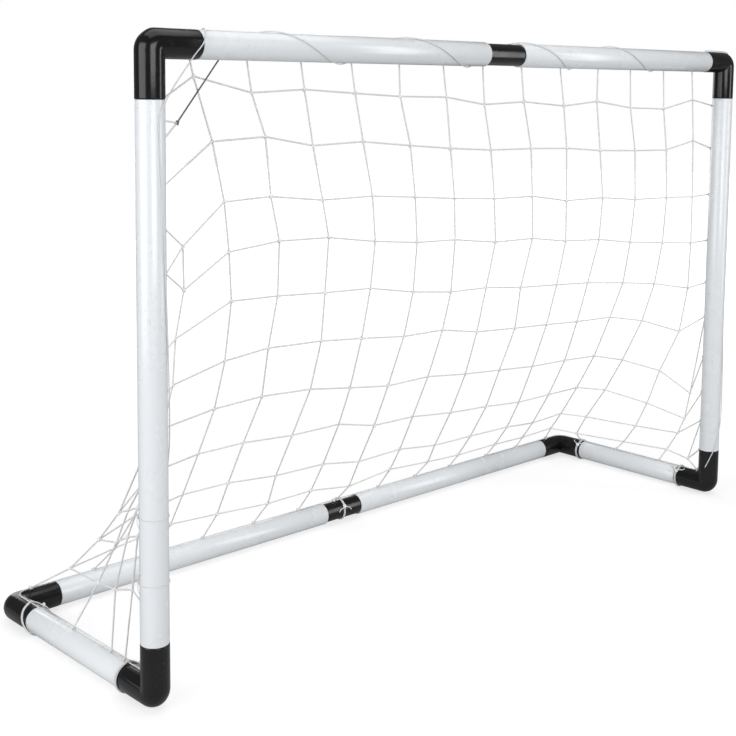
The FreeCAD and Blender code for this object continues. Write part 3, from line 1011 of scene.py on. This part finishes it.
def hang_net(points, pinned, strands, swings=150, pulls=16):
    """Position-based hanging: fall a little, then pull every part back to its cut length."""
    count = len(points)
    inner = np.empty((len(strands), STRAND_PARTS - 1, 3))
    ends = np.array([(a, b) for a, b, _, _ in strands])
    for part in range(1, STRAND_PARTS):
        share = part / STRAND_PARTS
        inner[:, part - 1] = points[ends[:, 0]] * (1 - share) + points[ends[:, 1]] * share
    place = np.vstack([points, inner.reshape(-1, 3)])
    fixed = np.concatenate([pinned, np.zeros(len(place) - count, bool)])
    ids = count + np.arange(inner.shape[0] * (STRAND_PARTS - 1)).reshape(-1, STRAND_PARTS - 1)
    chain = np.hstack([ends[:, :1], ids, ends[:, 1:]])
    a, b = chain[:, :-1].ravel(), chain[:, 1:].ravel()
    rest = np.repeat([s[2] / STRAND_PARTS for s in strands], STRAND_PARTS)
    weight_a = np.where(fixed[a], 0.0, 1.0)
    weight_b = np.where(fixed[b], 0.0, 1.0)
    share_sum = np.maximum(weight_a + weight_b, 1e-9)
    pulls_on = np.bincount(a, minlength=len(place)) + np.bincount(b, minlength=len(place))
    ease = PULL / np.maximum(pulls_on, 1)[:, None]
    free = (~fixed)[:, None]
    before = place.copy()
    is_knot = (np.arange(len(place)) < count)[:, None]
    weight = np.where(is_knot, 1.0, STRAND_WEIGHT) * np.array([0.0, 0.0, -1.0])
    for swing in range(swings):
        drift = (place - before) * DRIFT_KEPT
        before = place.copy()
        fall = FIRST_FALL * (1 - swing / swings)
        place = place + (drift + weight * fall) * free
        bent = place[chain[:, 1:-1]]
        straight = (place[chain[:, :-2]] + place[chain[:, 2:]]) / 2
        place[chain[:, 1:-1]] = bent + (straight - bent) * STRAND_STIFFNESS
        for pull in range(pulls):
            span = place[b] - place[a]
            length = np.linalg.norm(span, axis=1)
            over = np.maximum(length - rest, 0) / np.maximum(length, 1e-9)
            move = span * (over / share_sum)[:, None]
            shift = np.zeros_like(place)
            for axis in range(3):
                shift[:, axis] = (
                    np.bincount(a, move[:, axis] * weight_a, minlength=len(place))
                    - np.bincount(b, move[:, axis] * weight_b, minlength=len(place)))
            place = place + shift * ease * free
        place = keep_off_tubes(place, free)
    stretch = np.linalg.norm(place[b] - place[a], axis=1) / rest
    print("hung net: longest part", round(float(stretch.max()), 3), "of its cut length,",
          "last swing moved", round(float(np.abs(place - before).max()) / MM, 3), "mm")
    return place, chain


def keep_off_tubes(place, free):
    """Pushes a free particle out of any tube that it has sunk into."""
    clear = tube_r + TUBE_CLEARANCE
    for axes, centre in (((0, 1), (-half_width, front_y)), ((0, 1), (half_width, front_y)),
                         ((1, 2), (front_y, top_z)), ((1, 2), (rear_y, base_z)),
                         ((0, 2), (-half_width, base_z)), ((0, 2), (half_width, base_z))):
        offset = place[:, axes] - np.array(centre)
        distance = np.linalg.norm(offset, axis=1, keepdims=True)
        sunk = (distance < clear) & free
        pushed = offset / np.maximum(distance, 1e-9) * clear + np.array(centre)
        place[:, axes] = np.where(sunk, pushed, place[:, axes])
    return place


hung, chains = hang_net(net_points, net_pinned, net_strands)

# %% [markdown]
# The hung particles become twine. A strand's path runs from knot to knot, the knots are small
# closed shapes set at random turns, and each tied end gets a loop round the edge cord. The net is
# split into a few pieces, so that none of them is too heavy.

# %% Twine of the net
LEFT_PART_TO, MIDDLE_PART_TO = -0.15, 0.22
HITCH_GAP = 0.1 * MM


def hitch_path(place, along, turns=1.5, steps=12):
    """One and a half turns of twine round the edge cord, where a strand's end is tied."""
    across = along.orthogonal().normalized()
    other = along.cross(across)
    radius = edge_cord_r + TWINE_R + HITCH_GAP
    path = []
    for step in range(steps + 1):
        turn = math.tau * turns * step / steps
        path.append(place + (across * math.cos(turn) + other * math.sin(turn)) * radius
                    + along * (TWINE_R * 2 * turns * (step / steps - 0.5)))
    return path


def edge_direction(place):
    if abs(place.z - top_z) < 1 * MM:
        return RIGHT
    if abs(place.z - base_z - edge_at) > 1 * MM:
        return UP
    return RIGHT if abs(place.y - rear_y) < 1 * MM else BACK


def net_pieces():
    names = {"row": "row_twine", "upright": "upright_twine"}
    groups = {}
    for (a, b, _, kind), chain in zip(net_strands, chains):
        middle_x = (hung[a][0] + hung[b][0]) / 2
        part = "left" if middle_x < LEFT_PART_TO else "middle"
        if middle_x > MIDDLE_PART_TO:
            part = "right"
        groups.setdefault((names[kind], part), []).append([Vector(hung[i]) for i in chain])
    return groups


net_groups = net_pieces()
net_nodes = {"left": "side_net_left", "right": "side_net_right", "middle": "back_net"}
for (name, part), paths in sorted(net_groups.items()):
    piece = twine(name + "_" + part, paths, TWINE_R, twine_white, pitch=9 * MM, step=1.15 * MM)
    finish_piece(piece, "net_twine", net_nodes[part])

knot_places = [Vector(p) for p, fixed in zip(hung, net_pinned) if not fixed]
hitches = [hitch_path(Vector(p), edge_direction(Vector(p)))
           for p, fixed in zip(hung, net_pinned)
           if fixed and (Vector(p) - dark_knot_place).length > 1 * MM]
knots_piece = twine("net_knots", hitches, TWINE_R, twine_white, knots=knot_places, knot=net_knot,
                    step=1.6 * MM)
finish_piece(knots_piece, "net_twine")
print("knots", len(knot_places), "hitches", len(hitches))

# %% [markdown]
# ## Lacing
# Three lengths of cord wind round the frame and the edge cord together, and hold the net on. A
# winding is worked out by a loop: stations of (place along the member, degrees round it) are joined
# by even steps, and the step over the edge cord is lifted by that cord's thickness.

# %% Winding routes
LACING_R = 0.9 * MM
LACING_AT = 19.0 * MM
SWELL = 2.4 * MM
# Along the crossbar as a share of its length, and along a member in millimetres from its top or
# left end. A negative place on a post is measured up from the base.
crossbar_stations = [(0.10, -180), (0.19, 0), (0.39, 360), (0.59, 720), (0.76, 1080),
                     (0.866, 1260)]
left_turn_stations = [(84, 180), (72, 270), (62, 345), (50, 395)]
left_post_stations = [(74, -6), (200, 12), (-320, 50), (-250, 100), (-218, 140)]
right_post_stations = [(80, -88), (250, -78), (-300, -65), (-140, -40), (-70, 25), (-34, 75)]


def on_crossbar(along, degrees, radius):
    turn = math.radians(degrees)
    return Vector((along - half_width, front_y - radius * math.cos(turn),
                   top_z - radius * math.sin(turn)))


def on_post(side):
    def place(drop, degrees, radius):
        turn = math.radians(degrees)
        return Vector((side * (half_width - radius * math.sin(turn)),
                       front_y - radius * math.cos(turn), top_z - drop))
    return place


def wound(stations, place, widest_turn=30, longest_run=0.06):
    points = []
    for (s0, a0), (s1, a1) in zip(stations, stations[1:]):
        steps = max(1, math.ceil(abs(a1 - a0) / widest_turn),
                    math.ceil(abs(s1 - s0) / longest_run))
        for step in range(steps + (s1 == stations[-1][0])):
            share = step / steps
            degrees = a0 + (a1 - a0) * share
            over_cord = max(0.0, -math.cos(math.radians(degrees))) ** 8
            points.append(place(s0 + (s1 - s0) * share, degrees, LACING_AT + SWELL * over_cord))
    return points


def down_post(stations):
    height = top_z - base_z
    return [(s * MM if s > 0 else height + s * MM, degrees) for s, degrees in stations]


# %% Lacing pieces
crossbar_route = wound([(share * 2 * half_width, degrees) for share, degrees in crossbar_stations],
                       on_crossbar)
left_route = wound([(s * MM, degrees) for s, degrees in left_turn_stations], on_crossbar)
left_route += wound(down_post(left_post_stations), on_post(-1))
# Over the right top corner, as millimetres right of the post's axis and above the crossbar's.
out = LACING_AT / MM
over_corner = [(-60, out), (-10, out), (9, out - 1), (out - 1, 9), (out, -10)]
right_route = [Vector((half_width + right * MM, front_y, top_z + up * MM))
               for right, up in over_corner]
right_route += wound(down_post(right_post_stations), on_post(1))
for name, route in (("crossbar_lacing", crossbar_route), ("left_post_lacing", left_route),
                    ("right_post_lacing", right_route)):
    path = spline_points(name + "_route", route)
    piece = twine(name + "_twisted", [path], LACING_R, cord_white, pitch=8 * MM, step=1.0 * MM)
    finish_piece(piece, "white_cord", name)
    print(name, round(path_length(path), 3), "m")

# %% [markdown]
# ## Ties
# Short cords tie the edge cord down at the four base corners, on the rear coupler and twice low on
# the left post. A tie goes round the member and the cord together, so its turn is round on one side
# and pointed on the other, and it ends in a knot with two short tails.

# %% Ties
THIN_TIE_R = 0.6 * MM
REAR_SLANT = 10 * MM
TIE_GAP = 0.15 * MM
TIE_STEPS = 30
TURN_WIDTH = 2.1
# A knot's tail: degrees on from the knot, and millimetres along the member and off the tie.
TAIL = [(8, 5, 1.6), (14, 10, 0.6), (26, 13, 0.3)]


def tie_radius(degrees, member_r, cord_r):
    """How far a tie is from the member's axis, where 0 degrees points at the edge cord."""
    around = member_r + TIE_GAP + cord_r
    small = edge_cord_r + TIE_GAP + cord_r
    lean = math.acos((around - small) / edge_at)
    turn = abs(math.radians((degrees + 180) % 360 - 180))
    corner = math.atan2(small * math.sin(lean), edge_at + small * math.cos(lean))
    if turn >= lean:
        return around
    if turn >= corner:
        return around / math.cos(turn - lean)
    return edge_at * math.cos(turn) + math.sqrt(small ** 2 - (edge_at * math.sin(turn)) ** 2)


def tie(name, node, middle, along, towards, member_r, knot_degrees, turns=2, cord_r=TIE_R,
        slant=0.0):
    across = along.cross(towards)
    path = []
    steps = TIE_STEPS * turns

    def place(degrees, offset, lift=0.0):
        turn = math.radians(degrees)
        out = towards * math.cos(turn) + across * math.sin(turn)
        offset += slant * math.cos(turn)
        return middle + out * (tie_radius(degrees, member_r, cord_r) + lift) + along * offset

    for step in range(steps + 1):
        share = step / steps
        offset = (share - 0.5) * turns * cord_r * TURN_WIDTH
        path.append(place(knot_degrees + 360 * turns * share, offset))
    knot_at = place(knot_degrees, 0, cord_r)
    tails = [[knot_at] + [place(knot_degrees + on, way * out * MM, lift * MM)
                          for on, out, lift in TAIL] for way in (-1, 1)]
    piece = twine(name, [path] + tails, cord_r, cord_white, pitch=7 * MM, step=0.9 * MM,
                  knots=[knot_at], knot=tie_knot, knot_size=cord_r / TIE_R)
    return finish_piece(piece, "white_cord", *node)


for side, name in ((-1, "left"), (1, "right")):
    for end in ("front", "rear"):
        node = end + "_tie_" + name
        low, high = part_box(node)
        middle = Vector((side * half_width, (low.y + high.y) / 2, base_z))
        slant = REAR_SLANT if node == "rear_tie_left" else 0.0
        tie(end + "_lashing_" + name, [node], middle, BACK, UP, elbow_r, -side * 50, slant=slant)
tie("rear_coupler_lashing", ["rear_coupler_tie"], Vector((0, rear_y, base_z)), RIGHT, UP,
    coupler_r, 60)
low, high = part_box("post_ties_left")
for name, z, nodes in (("post_lashing_low", low.z, ["post_ties_left"]),
                       ("post_lashing_high", high.z, [])):
    inner = z + (TIE_R if z == low.z else -TIE_R)
    tie(name, nodes, Vector((-half_width, front_y, inner)), UP, BACK, tube_r, 60, turns=1,
        cord_r=THIN_TIE_R)

# %% Clear the pattern shapes
for shape in (net_knot, tie_knot):
    bpy.data.objects.remove(shape)

# %% [markdown]
# ## Floor and light
# The floor is a wide pale disc that fades into a white surround, so no horizon shows. A large soft
# box on the left and a tall one at the front right draw the long highlights on the tubes and the
# fittings. A wide one in front fills the faces that the camera sees, one behind lights the net's
# back, and one overhead lights the floor.

# %% Floor
def make_floor(radius=9.0, sides=96):
    shape = bmesh.new()
    bmesh.ops.create_circle(shape, cap_ends=True, segments=sides, radius=radius)
    mesh = mesh_of("floor", shape)
    new_object("floor", mesh)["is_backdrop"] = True
    material, tree, surface = new_material("pale_floor")
    feed(tree, surface, Base_Color=(0.93, 0.93, 0.93, 1), Roughness=0.7, Specular_IOR_Level=0.2)
    place = add(tree, "ShaderNodeTexCoord").outputs["Object"]
    distance = add(tree, "ShaderNodeVectorMath", {"operation": "LENGTH"}, _0=place)
    far = ranged(tree, distance.outputs["Value"], From_Min=0.7, From_Max=2.4, To_Min=0.55)
    seen = add(tree, "ShaderNodeLightPath").outputs["Is Camera Ray"]
    glow = add(tree, "ShaderNodeEmission", Color=(1, 1, 1, 1),
               Strength=ranged(tree, seen, To_Min=0.2, To_Max=1.25))
    faded = add(tree, "ShaderNodeMixShader", _0=far, _1=surface.outputs[0], _2=glow.outputs[0])
    output = next(node for node in tree.nodes if node.bl_idname == "ShaderNodeOutputMaterial")
    feed(tree, output, Surface=faded.outputs[0])
    mesh.materials.append(material)


make_floor()


# %% Surround and soft boxes
def make_surround():
    world = bpy.data.worlds.new("surround")
    bpy.context.scene.world = world
    world.use_nodes = True
    tree = world.node_tree
    tree.nodes.clear()
    seen = add(tree, "ShaderNodeLightPath").outputs["Is Camera Ray"]
    light = add(tree, "ShaderNodeBackground", Color=(1, 1, 1, 1),
                Strength=ranged(tree, seen, To_Min=0.18, To_Max=1.0))
    add(tree, "ShaderNodeOutputWorld", Surface=light.outputs[0])


def soft_box(name, place, target, size, power):
    data = bpy.data.lights.new(name, "AREA")
    data.shape = "RECTANGLE"
    data.size, data.size_y = size
    data.energy = power
    lamp = new_object(name, data)
    lamp.location = place
    lamp.visible_camera = False
    lamp.rotation_euler = (Vector(target) - Vector(place)).to_track_quat("-Z", "Y").to_euler()


make_surround()
goal_middle = (0.0, 0.0, 0.4)
crossbar_middle = (0.0, -0.17, 0.75)
# Each box's place, what it points at, its width and height in metres, and its power in watts.
SOFT_BOXES = {"left_box": ((-3.0, -0.2, 1.0), goal_middle, (2.4, 2.2), 52),
              "front_right_box": ((1.7, -1.8, 0.75), crossbar_middle, (0.5, 2.4), 16),
              "front_box": ((-0.9, -3.2, 1.2), goal_middle, (2.0, 1.6), 44),
              "top_box": ((0.0, -0.2, 3.4), goal_middle, (3.6, 3.0), 46),
              "rear_box": ((1.2, 3.2, 1.3), goal_middle, (2.4, 2.0), 30)}
for name, settings in SOFT_BOXES.items():
    soft_box(name, *settings)
bpy.context.scene.view_settings.view_transform = "Standard"

# %% Sizes, and the end
low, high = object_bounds()
print("visual box", [round(v, 4) for v in low], [round(v, 4) for v in high])
